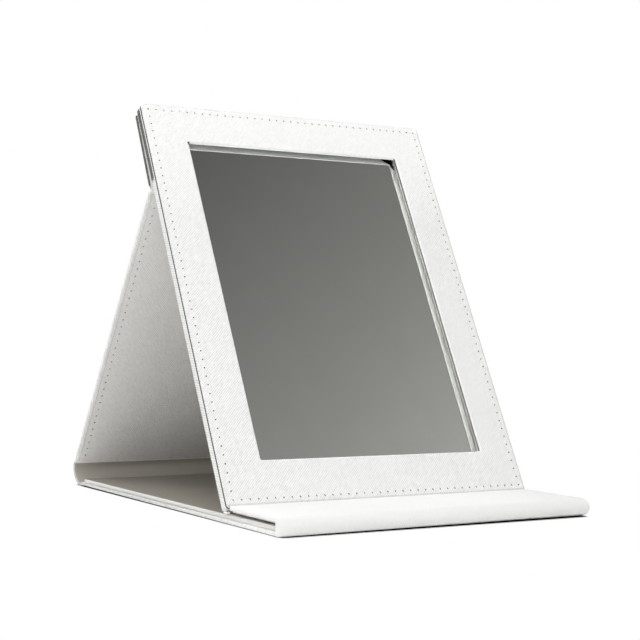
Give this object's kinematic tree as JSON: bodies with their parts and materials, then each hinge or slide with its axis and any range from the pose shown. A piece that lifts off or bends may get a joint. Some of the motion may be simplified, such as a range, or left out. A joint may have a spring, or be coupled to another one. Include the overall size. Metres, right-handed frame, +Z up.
{
  "type": "trifold vanity mirror",
  "caption": "Folding leather stand mirror: a wallet-like cover of base, strut and top strip props a framed glass that leans back behind a folded flap.",
  "frame": {"origin": "on the table under the base, midway between the front nose and the base's rear edge, centred across the width", "axes": "+Z up from the table, -Y towards the user (the side that the mirror faces), +X to the user's right"},
  "size_m": [0.165, 0.2313, 0.1968],
  "materials": {
    "outer_leather": "white cross-grain leather, satin",
    "frame_leather": "white cross-grain leather, satin, stitched",
    "inner_leather": "white cross-grain leather, satin",
    "inner_suede": "taupe microfibre suede that guards the glass when closed, inside a white leather rim",
    "grey_board": "grey bookbinding board",
    "black_board": "black board, matt",
    "foam": "thin foam sheet",
    "mirror_glass": "silvered float glass, polished",
    "magnet": "nickel-plated magnet",
    "keeper_steel": "zinc-plated steel disc"
  },
  "bodies": {
    "base": {"base_cover": "outer_leather", "base_board": "grey_board", "base_panel_leather": "inner_suede", "base_panel_board": "grey_board"},
    "back_spine": {"back_spine_cover": "outer_leather", "back_spine_lining": "inner_suede"},
    "strut": {"strut_cover": "outer_leather", "strut_board": "grey_board", "strut_lining": "inner_leather"},
    "mirror": {"mirror_back_leather": "outer_leather", "mirror_back_board": "grey_board", "glass_surround": "grey_board", "glass_pad": "foam", "mirror_glass": "mirror_glass", "frame_leather": "frame_leather", "frame_board": "black_board", "strip_cover": "outer_leather", "strip_board": "grey_board", "strip_lining": "inner_leather", "strip_keepers": "keeper_steel"},
    "front_spine": {"front_spine_cover": "outer_leather", "front_spine_lining": "inner_leather"},
    "flap": {"flap_cover": "outer_leather", "flap_foam": "foam", "flap_board": "grey_board", "flap_lining": "inner_suede", "flap_magnets": "magnet"}
  },
  "joints": [
    {"name": "back_spine_fold", "type": "hinge", "parent": "base", "child": "back_spine", "pos_m": [0, 0.11025, 0], "axis": [-1, 0, 0], "range_deg": [0, 52.2]},
    {"name": "strut_fold", "type": "hinge", "parent": "back_spine", "child": "strut", "pos_m": [0, 0.12006, 0.01269], "axis": [-1, 0, 0], "range_deg": [0, 71.5]},
    {"name": "mirror_fold", "type": "hinge", "parent": "strut", "child": "mirror", "pos_m": [0, 0.0241, 0.15375], "axis": [1, 0, 0], "range_deg": [0, 61.4]},
    {"name": "front_spine_fold", "type": "hinge", "parent": "base", "child": "front_spine", "pos_m": [0, -0.10615, 0], "axis": [1, 0, 0], "range_deg": [0, 90]},
    {"name": "flap_fold", "type": "hinge", "parent": "front_spine", "child": "flap", "pos_m": [0, -0.10615, 0.0082], "axis": [1, 0, 0], "range_deg": [0, 90]}
  ],
  "couplings": [
    {"joint": "strut_fold", "follows": "mirror_fold", "ratio": 1.164},
    {"joint": "front_spine_fold", "follows": "flap_fold", "ratio": 1}
  ]
}
